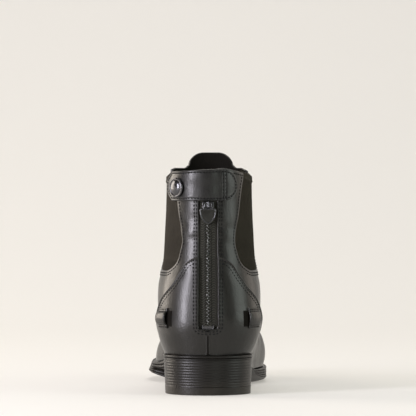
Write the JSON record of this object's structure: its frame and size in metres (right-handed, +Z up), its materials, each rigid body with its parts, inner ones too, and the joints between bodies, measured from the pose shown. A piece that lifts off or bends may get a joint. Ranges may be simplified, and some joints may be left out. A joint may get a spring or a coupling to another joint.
{
  "type": "paddock boot",
  "caption": "Black leather ankle boot for the right foot with elastic side gores, a back zip under a snapped tab, spur loops and a stacked heel.",
  "frame": {"origin": "middle of the heel's flat bottom, on the floor that the boot stands on", "axes": "+Y to the toe, +X to the outer (lateral) side of the right foot, +Z up"},
  "size_m": [0.095, 0.276, 0.1821],
  "materials": {
    "leather": "smooth black full-grain leather, waxed, semi-gloss",
    "strap_leather": "smooth black leather with a stitched edge, semi-gloss",
    "elastic": "ribbed woven elastic, matte",
    "zip_cloth": "woven zip tape, matte",
    "zip_teeth": "moulded black zip teeth, satin",
    "dark_metal": "gunmetal plated, polished",
    "sole_rubber": "dense black rubber, burnished edge",
    "lining": "dark lining leather, matte"
  },
  "bodies": {
    "boot": {"sole": "sole_rubber", "heel": "sole_rubber", "top_lift": "sole_rubber", "insole": "lining", "upper": "leather", "counter": "leather", "gore_medial": "elastic", "gore_lateral": "elastic", "spur_loop_medial": "strap_leather", "spur_loop_lateral": "strap_leather", "zip_tape": "zip_cloth", "zip_chain": "zip_teeth", "zip_stop": "dark_metal", "zip_slider": "dark_metal", "snap_tab": "strap_leather", "snap_button": "dark_metal"},
    "pull": {"zip_pull": "dark_metal"}
  },
  "joints": [
    {"name": "zip_pull_hinge", "type": "hinge", "parent": "boot", "child": "pull", "pos_m": [0, -0.02413, 0.1422], "axis": [-1, 0, 0], "range_deg": [0, 95]}
  ]
}
